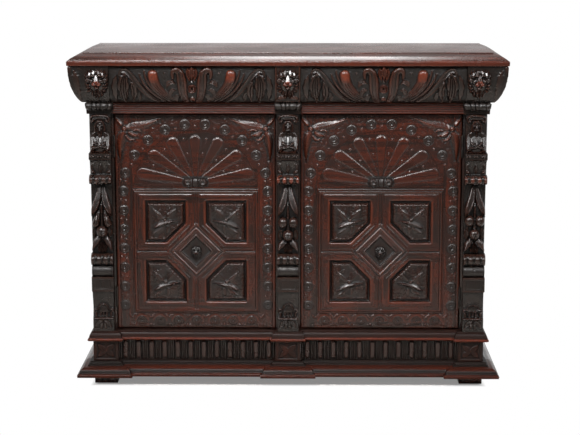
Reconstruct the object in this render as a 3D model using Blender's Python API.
"""Carved two-door credenza with two frieze drawers, modelled piece by piece.

Metres, +Z up, front towards -Y. The origin is at the middle of the box, on the floor.
"""
import math

import bmesh
import bpy

# Heights, from the floor up
FOOT_HEIGHT = 0.036
BASE_HEIGHT = 0.047
PLINTH_HEIGHT = 0.067
FLOOR_THICKNESS = 0.033
DOOR_HEIGHT = 0.711
DOOR_GAP = 0.003
BAND_HEIGHT = 0.040
FRIEZE_HEIGHT = 0.120
TOP_THICKNESS = 0.040

# Widths of the body and of what divides it
BODY_WIDTH = 1.284
SIDE_THICKNESS = 0.022
POST_WIDTH = 0.0765
CENTRE_POST_WIDTH = 0.079
CARVING_MARGIN = 0.005
CARVING_EDGE = 0.00125
BLOCK_WIDTH = 0.082
CORNICE_BLOCK_WIDTH = 0.0735
BRACKET_WIDTH = 0.081
CAPITAL_WIDTH = 0.084

# Depths, and how far pieces stand in front of the door face
BODY_DEPTH = 0.364
BACK_THICKNESS = 0.012
POST_DEPTH = 0.050
TOP_FRONT_OVERHANG = 0.100
TOP_SIDE_OVERHANG = 0.058
TOP_BACK_OVERHANG = 0.004
CORNICE_BLOCK_FRONT = 0.038
CORNICE_FOOT = 0.010
CORNICE_PROJECTION = 0.052
DRAWER_SETBACK = 0.008
BAND_FRONT = 0.022
SIDE_BAND_PROJECTION = 0.010
CAPITAL_PROJECTION = 0.033
PLINTH_BLOCK_FRONT = 0.035
PLINTH_FRIEZE_FRONT = 0.015
PLINTH_FRIEZE_THICKNESS = 0.022
CAP_PROJECTION = 0.017
BASE_PROJECTION = 0.050

# Profiles of the mouldings
OVOLO_SWEEP = 0.95
TOP_LIP_HEIGHT = 0.0068
TOP_LIP_ROUND = 0.002
TOP_FILLET = 0.002
TOP_STEP_HEIGHT = 0.0052
TOP_MOULDING_WIDTH = 0.040
CAP_LIP_HEIGHT = 0.010
CAP_FILLET = 0.002
CAP_NECK = 0.005
CAP_ROUND_HEIGHT = 0.0165
BASE_LIP_HEIGHT = 0.012
BASE_FILLET = 0.0025
BASE_ROUND_DEPTH = 0.025
BASE_ROUND_HEIGHT = 0.020
BASE_NECK = 0.010
BASE_STEP_DEPTH = 0.005
BASE_STEP_HEIGHT = 0.0075
CAPITAL_ROLL = 0.0128
CAPITAL_NECK = 0.013
CAPITAL_FOOT = 0.0165
CAPITAL_FOOT_HEIGHT = 0.010

# Pilaster sections: heights from the bottom up, and how far each stands in front of the door face
SHAFT_HEIGHT = 0.133
SHAFT_FRONT = 0.032
TABLET_HEIGHT = 0.050
TABLET_FRONT = 0.038
ROLL_HEIGHT = 0.037
ROLL_FRONT = 0.040
BEAD_ROLL_HEIGHT = 0.040
BEAD_ROLL_FRONT = 0.044
PENDANT_FRONT = 0.018
UPPER_ROLL_HEIGHT = 0.030
UPPER_ROLL_FRONT = 0.050
CONSOLE_HEIGHT = 0.054
CONSOLE_FRONT = 0.034
CONSOLE_UPRIGHT = 0.032
BEAD_BAND_HEIGHT = 0.018
BEAD_BAND_FRONT = 0.044
NICHE_HEIGHT = 0.080
NICHE_FRONT = 0.030
HOOD_HEIGHT = 0.045
HOOD_FRONT = 0.048
PEAR_RADIUS = 0.014
PEAR_LENGTH = 0.024
PEAR_OFFSET = 0.017
APPLE_RADIUS = 0.018
LEAF_SPREAD = 0.021
LEAF_LENGTH = 0.055
BUST_WIDTH = 0.040
BUST_HEIGHT = 0.060
HEAD_WIDTH = 0.026
HEAD_DEPTH = 0.031
HEAD_HEIGHT = 0.034

# Where the hanging fruit sits, as shares of the pendant's height
APPLE_SHARE = 0.24
PEAR_SHARE = 0.42
LEAF_SHARE = 0.73

# Lion masks
MASK_WIDTH = 0.074
MASK_HEIGHT = 0.096
MASK_DEPTH = 0.020
MASK_SINK = 0.012
MASK_TOP_GAP = 0.002
MUZZLE_RADIUS = 0.017
MUZZLE_SINK = 0.009

# Doors
DOOR_THICKNESS = 0.024
HINGE_GAP = 0.003
MEETING_GAP = 0.002
STILE_WIDTH = 0.057
TOP_RAIL_HEIGHT = 0.0555
BOTTOM_RAIL_HEIGHT = 0.055
MID_RAIL_HEIGHT = 0.012
ARCH_RISE = 0.1835
PANEL_THICKNESS = 0.012
PANEL_SETBACK = 0.008
CUSHION_RISE = 0.007
CUSHION_INNER = 0.035
CUSHION_MARGIN = 0.0465
CUSHION_CUT = 0.055
CUSHION_SLOPE = 0.010
DIAMOND_HALF = 0.066
STOP_WIDTH = 0.012
PETAL_ANGLES = (-77, -52, -26, 0, 26, 52, 77)
PETAL_START = 0.036
PETAL_BASE = 0.010
PETAL_WIDTH = 0.025
PETAL_MARGIN = 0.017
PETAL_RISE = 0.006
HUB_RISE = 0.019
HUB_WIDTH = 0.066
HUB_HEIGHT = 0.027

# Hinges
HINGE_HEIGHT = 0.070
HINGE_INSET = 0.105
LEAF_THICKNESS = 0.001
LEAF_DEPTH = 0.020
KNUCKLE_RADIUS = 0.004
PIN_RADIUS = 0.0016
PIN_CLEARANCE = 0.0003
PIN_SHORTFALL = 0.004

# Drawers
DRAWER_JOINT_GAP = 0.0012
DRAWER_TOP_GAP = 0.003
DRAWER_FRONT_BACK = 0.015
DRAWER_BOX_DEPTH = 0.300
DRAWER_BOX_HEIGHT = 0.085
DRAWER_WALL = 0.010
DRAWER_BOTTOM = 0.006
DRAWER_BOTTOM_RISE = 0.006
GUIDE_HEIGHT = 0.024
DIVIDER_THICKNESS = 0.018

# Inside
DUST_THICKNESS = 0.016
SHELF_THICKNESS = 0.018
SHELF_RISE = 0.345
SHELF_SETBACK = 0.030
HOUSING_DEPTH = 0.008
SIDE_FIELD_MARGIN = 0.060
SIDE_FIELD_DEPTH = 0.006

# Feet and blocks
FOOT_WIDTH = 0.076
FOOT_DEPTH = 0.070
REAR_FOOT_INSET = 0.010
BLOCK_FIELD_MARGIN = 0.014
BLOCK_FIELD_DEPTH = 0.004

# Rods on the plinth friezes
ROD_COUNT = 12
ROD_WIDTH = 0.016
ROD_RELIEF = 0.006
ROD_END_GAP = 0.006

# Clearance between pieces that touch, and how far joined shapes run into each other
SEAT = 0.0003
OVERLAP = 0.002
ROUND_STEPS = 8
REED_COUNT = 4

# Levels
BASE_Z = FOOT_HEIGHT
PLINTH_Z = BASE_Z + BASE_HEIGHT
FLOOR_Z = PLINTH_Z + PLINTH_HEIGHT
POST_Z = FLOOR_Z + FLOOR_THICKNESS
BAND_Z = POST_Z + DOOR_HEIGHT + 2 * DOOR_GAP
FRIEZE_Z = BAND_Z + BAND_HEIGHT
TOP_Z = FRIEZE_Z + FRIEZE_HEIGHT
LOWER_FIELD_HEIGHT = DOOR_HEIGHT - TOP_RAIL_HEIGHT - ARCH_RISE - MID_RAIL_HEIGHT - BOTTOM_RAIL_HEIGHT
LOWER_SECTIONS = SHAFT_HEIGHT + TABLET_HEIGHT + ROLL_HEIGHT + BEAD_ROLL_HEIGHT
UPPER_SECTIONS = UPPER_ROLL_HEIGHT + CONSOLE_HEIGHT + BEAD_BAND_HEIGHT + NICHE_HEIGHT + HOOD_HEIGHT
PENDANT_HEIGHT = BAND_Z - POST_Z - LOWER_SECTIONS - UPPER_SECTIONS

# Planes from front to back
TOP_DEPTH = TOP_FRONT_OVERHANG + BODY_DEPTH + TOP_BACK_OVERHANG
FACE_Y = TOP_FRONT_OVERHANG - TOP_DEPTH / 2
BACK_Y = FACE_Y + BODY_DEPTH
INSIDE_BACK_Y = BACK_Y - BACK_THICKNESS
POST_BACK_Y = FACE_Y + POST_DEPTH

# Planes from the middle out
BODY_HALF = BODY_WIDTH / 2
INSIDE_HALF = BODY_HALF - SIDE_THICKNESS
POST_INNER = BODY_HALF - POST_WIDTH
CENTRE_HALF = CENTRE_POST_WIDTH / 2
CORNICE_INNER = BODY_HALF - CORNICE_BLOCK_WIDTH
BRACKET_HALF = BRACKET_WIDTH / 2
PILASTER_X = BODY_HALF - (POST_WIDTH - CARVING_MARGIN) / 2
DOOR_OUTER = POST_INNER - HINGE_GAP
DOOR_INNER = CENTRE_HALF + MEETING_GAP
DOOR_X = (DOOR_OUTER + DOOR_INNER) / 2
HINGE_X = POST_INNER - HINGE_GAP / 2
HINGE_Y = FACE_Y - KNUCKLE_RADIUS - SEAT

SIDES = (("left", -1), ("right", 1))

parts = bpy.data.collections.new("credenza")
cutters = bpy.data.collections.new("cutters")
materials = {}


def make_material(name, colour, roughness, metallic):
    material = bpy.data.materials.new(name)
    material.use_nodes = True
    shader = material.node_tree.nodes["Principled BSDF"]
    shader.inputs["Base Color"].default_value = (*colour, 1.0)
    shader.inputs["Roughness"].default_value = roughness
    shader.inputs["Metallic"].default_value = metallic
    materials[name] = material


def add_object(name, mesh, material, parent=None):
    piece = bpy.data.objects.new(name, mesh)
    mesh.materials.append(materials[material])
    parts.objects.link(piece)
    if parent:
        piece.parent = parent
        piece.matrix_parent_inverse = parent.matrix_world.inverted()
    return piece


def box_mesh(name, low, high):
    body = bmesh.new()
    bmesh.ops.create_cube(body, size=1.0)
    for vert in body.verts:
        for axis in range(3):
            vert.co[axis] = low[axis] if vert.co[axis] < 0 else high[axis]
    return finished_mesh(name, body)


def finished_mesh(name, body):
    bmesh.ops.recalc_face_normals(body, faces=body.faces)
    if body.calc_volume(signed=True) < 0:
        bmesh.ops.reverse_faces(body, faces=body.faces)
    mesh = bpy.data.meshes.new(name)
    body.to_mesh(mesh)
    body.free()
    return mesh


def outline_mesh(name, outlines, axis, start, end):
    """Extrude flat outlines along an axis; outlines inside the first one are holes."""
    curve = bpy.data.curves.new(name, "CURVE")
    curve.dimensions = "2D"
    curve.fill_mode = "BOTH"
    curve.extrude = (end - start) / 2
    for outline in outlines:
        spline = curve.splines.new("POLY")
        spline.points.add(len(outline) - 1)
        for point, (a, b) in zip(spline.points, outline):
            point.co = (a, b, 0, 1)
        spline.use_cyclic_u = True
    drawn = bpy.data.objects.new(name, curve)
    bpy.context.scene.collection.objects.link(drawn)
    bpy.context.view_layer.update()
    evaluated = drawn.evaluated_get(bpy.context.evaluated_depsgraph_get())
    mesh = bpy.data.meshes.new_from_object(evaluated)
    body = bmesh.new()
    body.from_mesh(mesh)
    bmesh.ops.remove_doubles(body, verts=body.verts, dist=1e-6)
    middle = (start + end) / 2
    for vert in body.verts:
        a, b, c = vert.co
        if axis == "X":
            vert.co = (c + middle, a, b)
        elif axis == "Y":
            vert.co = (a, c + middle, b)
        else:
            vert.co = (a, b, c + middle)
    bpy.data.objects.remove(drawn)
    bpy.data.meshes.remove(mesh)
    return finished_mesh(name, body)


def loft_mesh(name, rings):
    """Skin level rings that have the same number of points, and close both ends."""
    body = bmesh.new()
    levels = [[body.verts.new(point) for point in ring] for ring in rings]
    count = len(rings[0])
    for lower, upper in zip(levels, levels[1:]):
        for i in range(count):
            after = (i + 1) % count
            body.faces.new((lower[i], lower[after], upper[after], upper[i]))
    body.faces.new(levels[0])
    body.faces.new(levels[-1])
    return finished_mesh(name, body)


def ball_mesh(name, centre, radii):
    body = bmesh.new()
    bmesh.ops.create_uvsphere(body, u_segments=12, v_segments=8, radius=1.0)
    for vert in body.verts:
        for axis in range(3):
            vert.co[axis] = centre[axis] + vert.co[axis] * radii[axis]
    return finished_mesh(name, body)


def rod_mesh(name, x, y, low, high, radius):
    body = bmesh.new()
    bmesh.ops.create_cone(body, cap_ends=True, segments=2 * ROUND_STEPS, radius1=radius, radius2=radius,
                          depth=high - low)
    bmesh.ops.translate(body, verts=body.verts, vec=(x, y, (low + high) / 2))
    return finished_mesh(name, body)


def combine(piece, mesh, operation):
    tool = bpy.data.objects.new(f"{piece.name}_tool", mesh)
    tool.hide_render = True
    tool.display_type = "WIRE"
    cutters.objects.link(tool)
    step = piece.modifiers.new(operation.lower(), "BOOLEAN")
    step.object = tool
    step.operation = operation
    step.solver = "EXACT"


def add_box(name, low, high, material, parent=None):
    return add_object(name, box_mesh(name, low, high), material, parent)


def span(side, near, far):
    """The low and high X of a stretch that lies between two distances from the middle."""
    return min(side * near, side * far), max(side * near, side * far)


def arc(centre, radii, start, end, steps=ROUND_STEPS):
    turns = [math.radians(start + (end - start) * i / steps) for i in range(steps + 1)]
    return [(centre[0] + radii[0] * math.cos(t), centre[1] + radii[1] * math.sin(t)) for t in turns]


# Moulding profiles: pairs of projection and height

def ovolo_profile(foot, projection, height):
    """A cushion profile, upright at the top and drawn in towards its foot."""
    points = []
    for i in range(ROUND_STEPS + 1):
        fall = i / ROUND_STEPS
        inward = (1 - math.sqrt(1 - (OVOLO_SWEEP * fall) ** 2)) / (1 - math.sqrt(1 - OVOLO_SWEEP ** 2))
        points.append((projection - (projection - foot) * inward, height * (1 - fall)))
    return points[::-1]


def top_profile():
    foot = TOP_LIP_HEIGHT + TOP_FILLET
    radii = (TOP_MOULDING_WIDTH - TOP_FILLET, TOP_THICKNESS - TOP_STEP_HEIGHT - foot)
    curve = arc((-TOP_MOULDING_WIDTH, foot), radii, 0, 90, 5)
    lip = [(-TOP_LIP_ROUND, 0), (0, TOP_LIP_ROUND), (0, TOP_LIP_HEIGHT)]
    return lip + curve + [(-TOP_MOULDING_WIDTH, TOP_THICKNESS)]


def cap_profile():
    radii = (CAP_PROJECTION - CAP_FILLET - CAP_NECK, CAP_ROUND_HEIGHT)
    curve = arc((CAP_NECK, CAP_LIP_HEIGHT + CAP_FILLET), radii, 0, 90, 4)
    lip = [(CAP_NECK, 0), (CAP_PROJECTION, CAP_FILLET), (CAP_PROJECTION, CAP_LIP_HEIGHT)]
    return lip + curve + [(CAP_NECK - CAP_FILLET, FLOOR_THICKNESS - SEAT)]


def base_profile():
    round_back = BASE_PROJECTION - BASE_FILLET - BASE_ROUND_DEPTH
    curve = arc((round_back, BASE_LIP_HEIGHT), (BASE_ROUND_DEPTH, BASE_ROUND_HEIGHT), 0, 90, 5)
    step = BASE_HEIGHT - BASE_STEP_HEIGHT
    lip = [(BASE_PROJECTION, 0), (BASE_PROJECTION, BASE_LIP_HEIGHT)]
    neck = [(BASE_NECK + BASE_STEP_DEPTH, step), (BASE_NECK, step), (BASE_NECK, BASE_HEIGHT - SEAT)]
    return lip + curve + neck


def breakfront_ring(out, z, back):
    """A plan that breaks forward over the three plinth blocks, grown outwards by a projection."""
    block_y = FACE_Y - PLINTH_BLOCK_FRONT - out
    bay_y = FACE_Y - PLINTH_FRIEZE_FRONT - out
    side = BODY_HALF + out
    inner = BODY_HALF - BLOCK_WIDTH - out
    centre = BLOCK_WIDTH / 2 + out
    half = [(centre, block_y), (centre, bay_y), (inner, bay_y), (inner, block_y), (side, block_y),
            (side, back)]
    left = [(-x, y) for x, y in half[::-1]]
    return [(x, y, z) for x, y in left + half]


# Carcase

def build_top():
    rings = []
    half = BODY_HALF + TOP_SIDE_OVERHANG
    front = FACE_Y - TOP_FRONT_OVERHANG
    back = BACK_Y + TOP_BACK_OVERHANG
    for out, rise in top_profile():
        z = TOP_Z + rise
        rings.append([(-half - out, front - out, z), (half + out, front - out, z), (half + out, back, z),
                      (-half - out, back, z)])
    add_object("top_board", loft_mesh("top_board", rings), "oak")


def build_side_panels():
    for name, side in SIDES:
        outer = side * BODY_HALF
        band = side * (BODY_HALF + SIDE_BAND_PROJECTION)
        inner = side * INSIDE_HALF
        low, high = POST_Z + SEAT, FRIEZE_Z - SEAT
        outline = [(inner, low), (outer, low), (outer, BAND_Z), (band, BAND_Z + SIDE_BAND_PROJECTION),
                   (band, high), (inner, high)]
        front, back = POST_BACK_Y + SEAT, INSIDE_BACK_Y - SEAT
        mesh = outline_mesh(f"{name}_side_panel", [outline], "Y", front, back)
        panel = add_object(f"{name}_side_panel", mesh, "oak")
        field_x = span(side, BODY_HALF - SIDE_FIELD_DEPTH, BODY_HALF + OVERLAP)
        field_low = (field_x[0], front + SIDE_FIELD_MARGIN, low + SIDE_FIELD_MARGIN)
        field_high = (field_x[1], back - SIDE_FIELD_MARGIN, BAND_Z - SIDE_FIELD_MARGIN)
        combine(panel, box_mesh("field", field_low, field_high), "DIFFERENCE")
        house_x = span(side, INSIDE_HALF - OVERLAP, INSIDE_HALF + HOUSING_DEPTH)
        shelf_z = POST_Z + SHELF_RISE
        housing_low = (house_x[0], POST_BACK_Y + SHELF_SETBACK - SEAT, shelf_z - SEAT)
        housing_high = (house_x[1], back + OVERLAP, shelf_z + SHELF_THICKNESS + SEAT)
        combine(panel, box_mesh("housing", housing_low, housing_high), "DIFFERENCE")


def build_boards():
    front, back = POST_BACK_Y + SEAT, INSIDE_BACK_Y - SEAT
    floor_rings = [breakfront_ring(out, FLOOR_Z + rise, back) for out, rise in cap_profile()]
    add_object("cabinet_floor", loft_mesh("cabinet_floor", floor_rings), "oak")
    add_box("back_panel", (-BODY_HALF, INSIDE_BACK_Y, BASE_Z), (BODY_HALF, BACK_Y, TOP_Z - SEAT),
            "plain_oak")
    inside = INSIDE_HALF - SEAT
    add_box("dust_board", (-inside, front, FRIEZE_Z - DUST_THICKNESS), (inside, back, FRIEZE_Z - SEAT),
            "plain_oak")
    shelf_half = INSIDE_HALF + HOUSING_DEPTH - SEAT
    shelf_z = POST_Z + SHELF_RISE
    add_box("shelf", (-shelf_half, POST_BACK_Y + SHELF_SETBACK, shelf_z),
            (shelf_half, back, shelf_z + SHELF_THICKNESS), "plain_oak")


def build_drawer_guides():
    front, back = POST_BACK_Y + SEAT, INSIDE_BACK_Y - SEAT
    for name, side in SIDES:
        low, high = span(side, CORNICE_INNER, INSIDE_HALF - SEAT)
        add_box(f"{name}_drawer_guide", (low, front, FRIEZE_Z), (high, back, FRIEZE_Z + GUIDE_HEIGHT),
                "plain_oak")
    web = DIVIDER_THICKNESS / 2
    foot_z, top = FRIEZE_Z + GUIDE_HEIGHT, TOP_Z - SEAT
    outline = [(-BRACKET_HALF, FRIEZE_Z), (BRACKET_HALF, FRIEZE_Z), (BRACKET_HALF, foot_z), (web, foot_z),
               (web, top), (-web, top), (-web, foot_z), (-BRACKET_HALF, foot_z)]
    mesh = outline_mesh("drawer_divider", [outline], "Y", front, back)
    add_object("drawer_divider", mesh, "plain_oak")


def cornice_rings(side):
    """Plan rings of a corner block with its return along the side."""
    rings = []
    back = INSIDE_BACK_Y - SEAT
    for out, rise in ovolo_profile(CORNICE_FOOT, CORNICE_PROJECTION, FRIEZE_HEIGHT - SEAT):
        front = FACE_Y - CORNICE_BLOCK_FRONT - out
        outer = BODY_HALF + out
        plan = [(CORNICE_INNER, front), (outer, front), (outer, back), (INSIDE_HALF, back),
                (INSIDE_HALF, POST_BACK_Y), (CORNICE_INNER, POST_BACK_Y)]
        rings.append([(side * x, y, FRIEZE_Z + rise) for x, y in plan])
    return rings


def frieze_outline(setback, height, back, grow=0.0):
    """Side view of a cushion-fronted frieze piece."""
    front = [(FACE_Y - CORNICE_BLOCK_FRONT + setback - out - grow, FRIEZE_Z + rise)
             for out, rise in ovolo_profile(CORNICE_FOOT, CORNICE_PROJECTION, height)]
    return front + [(back, front[-1][1]), (back, front[0][1])]


def build_cornice():
    for name, side in SIDES:
        add_object(f"{name}_cornice", loft_mesh(f"{name}_cornice", cornice_rings(side)), "carved_oak")
    outline = frieze_outline(0.0, FRIEZE_HEIGHT - SEAT, POST_BACK_Y)
    mesh = outline_mesh("centre_bracket", [outline], "X", -BRACKET_HALF, BRACKET_HALF)
    add_object("centre_bracket", mesh, "carved_oak")


def build_lion_masks():
    middle = TOP_Z - MASK_TOP_GAP - MASK_HEIGHT / 2
    reach = FACE_Y - CORNICE_BLOCK_FRONT - CORNICE_PROJECTION
    mane_radii = (MASK_WIDTH / 2, MASK_DEPTH, MASK_HEIGHT / 2)
    muzzle_radii = (MUZZLE_RADIUS, MUZZLE_RADIUS, MUZZLE_RADIUS)
    for name, side in (("left", -1), ("centre", 0), ("right", 1)):
        x = side * PILASTER_X
        mane = ball_mesh("mane", (x, reach + MASK_SINK, middle), mane_radii)
        mask = add_object(f"{name}_lion_mask", mane, "carved_oak")
        muzzle = (x, reach + MUZZLE_SINK, middle - MUZZLE_RADIUS)
        combine(mask, ball_mesh("muzzle", muzzle, muzzle_radii), "UNION")
        bed = frieze_outline(0.0, FRIEZE_HEIGHT, POST_BACK_Y, SEAT)
        combine(mask, outline_mesh("bed", [bed], "X", x - MASK_WIDTH, x + MASK_WIDTH), "DIFFERENCE")


def build_band():
    """The reeded rail under the drawers, with a rolled capital over each pilaster."""
    low, high = BAND_Z + SEAT, FRIEZE_Z - SEAT
    reed = (high - low) / REED_COUNT
    front = FACE_Y - BAND_FRONT
    outline = []
    for i in range(REED_COUNT):
        outline += arc((front, low + reed * (i + 0.5)), (reed / 2, reed / 2), 270, 90, 4)[:-1]
    outline += [(front, high), (POST_BACK_Y, high), (POST_BACK_Y, low)]
    add_object("front_band", outline_mesh("front_band", [outline], "X", -BODY_HALF, BODY_HALF), "oak")
    seat = front - reed / 2 - SEAT
    centre = (seat - CAPITAL_PROJECTION + reed / 2 + CAPITAL_ROLL, high - CAPITAL_ROLL)
    outline = [(seat, high)] + arc(centre, (CAPITAL_ROLL, CAPITAL_ROLL), 90, 250)
    outline += [(seat - CAPITAL_NECK, low + CAPITAL_FOOT_HEIGHT), (seat - CAPITAL_FOOT, low), (seat, low)]
    for name, side in (("left", -1), ("centre", 0), ("right", 1)):
        x = side * PILASTER_X
        mesh = outline_mesh(f"{name}_capital", [outline], "X", x - CAPITAL_WIDTH / 2, x + CAPITAL_WIDTH / 2)
        add_object(f"{name}_capital", mesh, "carved_oak")


# Pilasters

def pilaster_outline():
    """Side view of the carved front, from the bottom up, as it stands in front of the door face."""
    z = POST_Z + OVERLAP
    front = [(-OVERLAP * 2, z), (SHAFT_FRONT, z)]
    z = POST_Z + SHAFT_HEIGHT
    front += [(SHAFT_FRONT, z), (TABLET_FRONT, z)]
    z += TABLET_HEIGHT
    front += [(TABLET_FRONT, z)]
    for height, reach in ((ROLL_HEIGHT, ROLL_FRONT), (BEAD_ROLL_HEIGHT, BEAD_ROLL_FRONT)):
        front += arc((reach - height / 2, z + height / 2), (height / 2, height / 2), -80, 80, 6)
        z += height
    front += [(PENDANT_FRONT, z)]
    z += PENDANT_HEIGHT
    front += [(PENDANT_FRONT, z)]
    half = UPPER_ROLL_HEIGHT / 2
    front += arc((UPPER_ROLL_FRONT - half, z + half), (half, half), -80, 60, 6)
    z += UPPER_ROLL_HEIGHT
    front += [(CONSOLE_FRONT, z), (CONSOLE_FRONT, z + CONSOLE_UPRIGHT)]
    z += CONSOLE_HEIGHT
    front += [(BEAD_BAND_FRONT, z), (BEAD_BAND_FRONT, z + BEAD_BAND_HEIGHT)]
    z += BEAD_BAND_HEIGHT
    front += [(NICHE_FRONT, z), (NICHE_FRONT, z + NICHE_HEIGHT)]
    z += NICHE_HEIGHT
    high = BAND_Z - OVERLAP
    front += [(HOOD_FRONT, z + SEAT), (HOOD_FRONT, high), (-OVERLAP * 2, high)]
    return [(FACE_Y - reach, z) for reach, z in front]


def pilaster_ornament(x):
    """The main masses on the shaft: the hanging fruit, with its leaves, and the bust in its niche."""
    ground = FACE_Y - PENDANT_FRONT
    low = POST_Z + LOWER_SECTIONS
    apple = (APPLE_RADIUS, APPLE_RADIUS, APPLE_RADIUS)
    masses = [("apple", (x, ground, low + PENDANT_HEIGHT * APPLE_SHARE), apple)]
    pear = (PEAR_RADIUS, PEAR_RADIUS, PEAR_LENGTH)
    for step in (-1, 1):
        masses.append(("pear", (x + step * PEAR_OFFSET, ground, low + PENDANT_HEIGHT * PEAR_SHARE), pear))
    leaf = (LEAF_SPREAD, PEAR_RADIUS, LEAF_LENGTH)
    masses.append(("leaf", (x, ground, low + PENDANT_HEIGHT * LEAF_SHARE), leaf))
    niche = BAND_Z - HOOD_HEIGHT - NICHE_HEIGHT
    back = FACE_Y - NICHE_FRONT
    bust = (BUST_WIDTH / 2, HEAD_WIDTH / 2, BUST_HEIGHT / 2)
    masses.append(("bust", (x, back, niche + BUST_HEIGHT / 2 - CARVING_MARGIN), bust))
    head = (HEAD_WIDTH / 2, HEAD_DEPTH / 2, HEAD_HEIGHT / 2)
    masses.append(("head", (x, back, niche + BUST_HEIGHT - CARVING_MARGIN), head))
    return [ball_mesh(name, centre, radii) for name, centre, radii in masses]


def build_pilasters():
    carving = pilaster_outline()
    carved_half = (POST_WIDTH - CARVING_MARGIN) / 2 - CARVING_EDGE
    low, high = POST_Z + SEAT, BAND_Z - SEAT
    for name, side in (("left", -1), ("centre", 0), ("right", 1)):
        x = side * PILASTER_X
        ends = span(side, POST_INNER, BODY_HALF) if side else (-CENTRE_HALF, CENTRE_HALF)
        post = add_box(f"{name}_pilaster", (ends[0], FACE_Y, low), (ends[1], POST_BACK_Y, high),
                       "carved_oak")
        if not side:
            stop_front = FACE_Y + DOOR_THICKNESS + SEAT
            stop_half = CENTRE_HALF + STOP_WIDTH
            combine(post, box_mesh("stop", (-stop_half, stop_front, low + OVERLAP),
                                   (stop_half, POST_BACK_Y - OVERLAP, high - OVERLAP)), "UNION")
        front = outline_mesh("carving", [carving], "X", x - carved_half, x + carved_half)
        combine(post, front, "UNION")
        for mass in pilaster_ornament(x):
            combine(post, mass, "UNION")


# Plinth and feet

def build_plinth():
    front_rings = [breakfront_ring(out, BASE_Z + rise, POST_BACK_Y) for out, rise in base_profile()]
    add_object("front_base_moulding", loft_mesh("front_base_moulding", front_rings), "oak")
    for name, side in SIDES:
        profile = [(side * (BODY_HALF + out), BASE_Z + rise) for out, rise in base_profile()]
        outer, inner = side * BODY_HALF, side * INSIDE_HALF
        high = FLOOR_Z - SEAT
        outline = [(inner, BASE_Z)] + profile + [(outer, profile[-1][1]), (outer, high), (inner, high)]
        mesh = outline_mesh(f"{name}_plinth_side", [outline], "Y", POST_BACK_Y + SEAT, INSIDE_BACK_Y - SEAT)
        add_object(f"{name}_plinth_side", mesh, "oak")
    low, high = PLINTH_Z, FLOOR_Z - SEAT
    block_front = FACE_Y - PLINTH_BLOCK_FRONT
    for name, side in (("left", -1), ("centre", 0), ("right", 1)):
        x = side * (BODY_HALF - BLOCK_WIDTH / 2)
        half = BLOCK_WIDTH / 2
        block = add_box(f"{name}_plinth_block", (x - half, block_front, low), (x + half, POST_BACK_Y, high),
                        "oak")
        field = half - BLOCK_FIELD_MARGIN
        field_low = (x - field, block_front - OVERLAP, low + BLOCK_FIELD_MARGIN)
        field_high = (x + field, block_front + BLOCK_FIELD_DEPTH, high - BLOCK_FIELD_MARGIN)
        combine(block, box_mesh("field", field_low, field_high), "DIFFERENCE")
    frieze_front = FACE_Y - PLINTH_FRIEZE_FRONT
    for name, side in SIDES:
        ends = span(side, BLOCK_WIDTH / 2 + SEAT, BODY_HALF - BLOCK_WIDTH - SEAT)
        frieze = add_box(f"{name}_plinth_frieze", (ends[0], frieze_front, low),
                         (ends[1], frieze_front + PLINTH_FRIEZE_THICKNESS, high), "oak")
        pitch = (ends[1] - ends[0]) / ROD_COUNT
        for i in range(ROD_COUNT):
            x = ends[0] + pitch * (i + 0.5)
            plan = arc((x, frieze_front + OVERLAP), (ROD_WIDTH / 2, ROD_RELIEF + OVERLAP), 180, 360, 6)
            rod = outline_mesh("rod", [plan], "Z", low + ROD_END_GAP, high - ROD_END_GAP)
            combine(frieze, rod, "UNION")


def build_feet():
    front_y = FACE_Y - PLINTH_FRIEZE_FRONT
    rear_y = INSIDE_BACK_Y - SEAT - REAR_FOOT_INSET - FOOT_DEPTH
    for place, y in (("front", front_y), ("rear", rear_y)):
        for name, side in SIDES:
            ends = span(side, BODY_HALF - FOOT_WIDTH, BODY_HALF)
            add_box(f"{place}_{name}_foot", (ends[0], y, 0), (ends[1], y + FOOT_DEPTH, FOOT_HEIGHT - SEAT),
                    "oak")


# Doors

def arch_outline(half, low, rise, shrink):
    """An upright opening with a level foot and a round head, drawn in by a clearance."""
    radius = (half ** 2 + rise ** 2) / (2 * rise)
    centre = low + rise - radius
    reach = math.sqrt((radius - shrink) ** 2 - (low + shrink - centre) ** 2)
    start = math.degrees(math.atan2(low + shrink - centre, reach))
    return arc((0, centre), (radius - shrink, radius - shrink), start, 180 - start, 20)


def cushion_rings(signs, centre, outer, back, front):
    """A raised tablet whose corner nearest the middle of the field is cut off."""
    rings = []
    for inset, y in ((0.0, back), (0.0, back - CUSHION_RISE / 2), (CUSHION_SLOPE, front)):
        low = CUSHION_INNER + inset
        right, high = outer[0] - inset, outer[1] - inset
        cut = CUSHION_CUT - inset * (2 - math.sqrt(2))
        plan = [(right, high), (right, low), (low + cut, low), (low, low + cut), (low, high)]
        rings.append([(centre[0] + signs[0] * a, y, centre[1] + signs[1] * b) for a, b in plan])
    return rings


def petal_outline(angle, length):
    """A petal that widens from its base to a round tip, leaning from the upright by an angle."""
    half = PETAL_WIDTH / 2
    points = [(PETAL_BASE / 2, PETAL_START)] + arc((0, length - half), (half, half), 0, 180)
    points += [(-PETAL_BASE / 2, PETAL_START)]
    lean = math.radians(angle)
    across, along = math.cos(lean), math.sin(lean)
    return [(a * across + b * along, b * across - a * along) for a, b in points]


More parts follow.
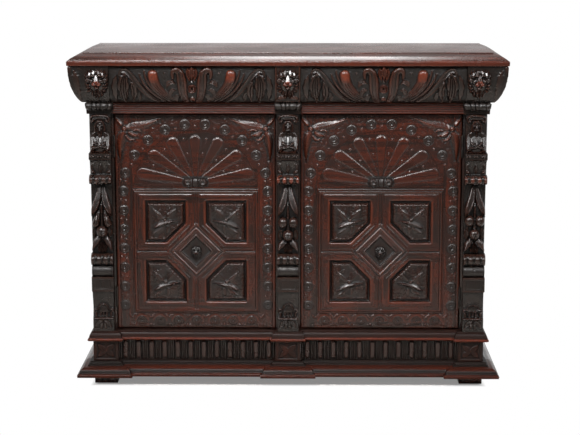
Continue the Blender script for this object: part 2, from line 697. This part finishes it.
def build_fan(name, x, half, low, swing):
    """The panel in the door's round head, with petals that spread from a hub at its foot."""
    front = FACE_Y + PANEL_SETBACK
    fan = [(x + a, b) for a, b in arch_outline(half, low, ARCH_RISE, SEAT)]
    mesh = outline_mesh(f"{name}_fan_panel", [fan], "Y", front, front + PANEL_THICKNESS)
    panel = add_object(f"{name}_fan_panel", mesh, "oak", swing)
    radius = (half ** 2 + ARCH_RISE ** 2) / (2 * ARCH_RISE)
    above = HUB_RISE - ARCH_RISE + radius
    for angle in PETAL_ANGLES:
        lean = math.radians(angle)
        reach = math.sqrt(radius ** 2 - (above * math.sin(lean)) ** 2) - above * math.cos(lean)
        outline = [(x + a, low + HUB_RISE + b) for a, b in petal_outline(angle, reach - PETAL_MARGIN)]
        combine(panel, outline_mesh("petal", [outline], "Y", front - PETAL_RISE, front + OVERLAP), "UNION")
    hub = (HUB_WIDTH / 2, PETAL_RISE, HUB_HEIGHT / 2)
    combine(panel, ball_mesh("hub", (x, front, low + HUB_RISE), hub), "UNION")


def build_door(name, side, swing):
    x = side * DOOR_X
    half = (DOOR_OUTER - DOOR_INNER) / 2
    low = POST_Z + DOOR_GAP
    field_half = half - STILE_WIDTH
    field_low = low + BOTTOM_RAIL_HEIGHT
    field_high = field_low + LOWER_FIELD_HEIGHT
    fan_low = field_high + MID_RAIL_HEIGHT

    high = low + DOOR_HEIGHT
    rectangle = [(x - half, low), (x + half, low), (x + half, high), (x - half, high)]
    opening = [(x - field_half, field_low), (x + field_half, field_low), (x + field_half, field_high),
               (x - field_half, field_high)]
    arch = [(x + a, b) for a, b in arch_outline(field_half, fan_low, ARCH_RISE, 0.0)]
    outlines = [rectangle, opening, arch]
    frame = outline_mesh(f"{name}_door_frame", outlines, "Y", FACE_Y, FACE_Y + DOOR_THICKNESS)
    add_object(f"{name}_door_frame", frame, "oak", swing)

    build_fan(name, x, field_half, fan_low, swing)

    front = FACE_Y + PANEL_SETBACK
    panel = add_box(f"{name}_lower_panel", (x - field_half + SEAT, front, field_low + SEAT),
                    (x + field_half - SEAT, front + PANEL_THICKNESS, field_high - SEAT), "oak", swing)
    middle = (field_low + field_high) / 2
    outer = (field_half - CUSHION_MARGIN, LOWER_FIELD_HEIGHT / 2 - CUSHION_MARGIN)
    for signs in ((-1, -1), (-1, 1), (1, -1), (1, 1)):
        rings = cushion_rings(signs, (x, middle), outer, front + OVERLAP, front - CUSHION_RISE)
        combine(panel, loft_mesh("cushion", rings), "UNION")
    diamond = [(x + DIAMOND_HALF, middle), (x, middle + DIAMOND_HALF), (x - DIAMOND_HALF, middle),
               (x, middle - DIAMOND_HALF)]
    combine(panel, outline_mesh("diamond", [diamond], "Y", front - CUSHION_RISE, front + OVERLAP), "UNION")


def build_hinge(name, side, middle, swing):
    """A lift-off hinge: the fixed leaf carries the pin, and the door's leaf drops over it."""
    low, high = middle - HINGE_HEIGHT / 2, middle + HINGE_HEIGHT / 2
    axis_x = side * HINGE_X
    start, end = FACE_Y + SEAT, FACE_Y + LEAF_DEPTH
    under, over = middle - SEAT, middle + SEAT
    fixed = [(HINGE_Y, low), (end, low), (end, high), (start, high), (start, under), (HINGE_Y, under)]
    loose = [(HINGE_Y, high), (HINGE_Y, over), (start, over), (start, low), (end, low), (end, high)]
    fixed_x = span(side, POST_INNER - SEAT - LEAF_THICKNESS, POST_INNER - SEAT)
    loose_x = span(side, DOOR_OUTER + SEAT, DOOR_OUTER + SEAT + LEAF_THICKNESS)

    leaf = add_object(f"{name}_fixed_leaf", outline_mesh("leaf", [fixed], "X", *fixed_x), "iron")
    combine(leaf, rod_mesh("knuckle", axis_x, HINGE_Y, low, under, KNUCKLE_RADIUS), "UNION")
    pin = rod_mesh("pin", axis_x, HINGE_Y, middle - OVERLAP, high - PIN_SHORTFALL, PIN_RADIUS)
    combine(leaf, pin, "UNION")

    leaf = add_object(f"{name}_door_leaf", outline_mesh("leaf", [loose], "X", *loose_x), "iron", swing)
    combine(leaf, rod_mesh("knuckle", axis_x, HINGE_Y, over, high, KNUCKLE_RADIUS), "UNION")
    bore = PIN_RADIUS + PIN_CLEARANCE
    combine(leaf, rod_mesh("bore", axis_x, HINGE_Y, middle - OVERLAP, high + OVERLAP, bore), "DIFFERENCE")


def add_empty(name, place):
    empty = bpy.data.objects.new(name, None)
    empty.location = place
    parts.objects.link(empty)
    bpy.context.view_layer.update()
    return empty


def build_doors():
    low = POST_Z + DOOR_GAP
    for name, side in SIDES:
        swing = add_empty(f"{name}_door_axis", (side * HINGE_X, HINGE_Y, low))
        build_door(name, side, swing)
        build_hinge(f"{name}_lower_hinge", side, low + HINGE_INSET, swing)
        build_hinge(f"{name}_upper_hinge", side, low + DOOR_HEIGHT - HINGE_INSET, swing)


# Drawers

def build_drawers():
    low = FRIEZE_Z + SEAT
    inner, outer = BRACKET_HALF + DRAWER_JOINT_GAP, CORNICE_INNER - DRAWER_JOINT_GAP
    front_back = FACE_Y + DRAWER_FRONT_BACK
    box_front = front_back + SEAT
    box_back = box_front + DRAWER_BOX_DEPTH
    box_high = low + DRAWER_BOX_HEIGHT
    for name, side in SIDES:
        slide = add_empty(f"{name}_drawer_axis", (side * (inner + outer) / 2, box_front, low))
        outline = frieze_outline(DRAWER_SETBACK, FRIEZE_HEIGHT - DRAWER_TOP_GAP - SEAT, front_back)
        outline = [(y, z + SEAT) for y, z in outline]
        mesh = outline_mesh(f"{name}_drawer_front", [outline], "X", *span(side, inner, outer))
        add_object(f"{name}_drawer_front", mesh, "carved_oak", slide)
        walls = (("outer", outer - DRAWER_WALL, outer), ("inner", inner, inner + DRAWER_WALL))
        for wall, near, far in walls:
            ends = span(side, near, far)
            add_box(f"{name}_drawer_{wall}_side", (ends[0], box_front, low), (ends[1], box_back, box_high),
                    "plain_oak", slide)
        ends = span(side, inner + DRAWER_WALL + SEAT, outer - DRAWER_WALL - SEAT)
        bottom = low + DRAWER_BOTTOM_RISE
        back_front = box_back - DRAWER_WALL
        add_box(f"{name}_drawer_back", (ends[0], back_front, low), (ends[1], box_back, box_high),
                "plain_oak", slide)
        add_box(f"{name}_drawer_bottom", (ends[0], box_front, bottom),
                (ends[1], back_front - SEAT, bottom + DRAWER_BOTTOM), "plain_oak", slide)


def main():
    for old in list(bpy.data.objects):
        bpy.data.objects.remove(old, do_unlink=True)
    bpy.context.scene.collection.children.link(parts)
    bpy.context.scene.collection.children.link(cutters)
    make_material("oak", (0.065, 0.020, 0.013), 0.42, 0.0)
    make_material("carved_oak", (0.030, 0.014, 0.011), 0.45, 0.0)
    make_material("plain_oak", (0.190, 0.095, 0.045), 0.65, 0.0)
    make_material("iron", (0.060, 0.055, 0.050), 0.50, 1.0)
    build_top()
    build_side_panels()
    build_boards()
    build_drawer_guides()
    build_cornice()
    build_lion_masks()
    build_band()
    build_pilasters()
    build_plinth()
    build_feet()
    build_doors()
    build_drawers()


main()
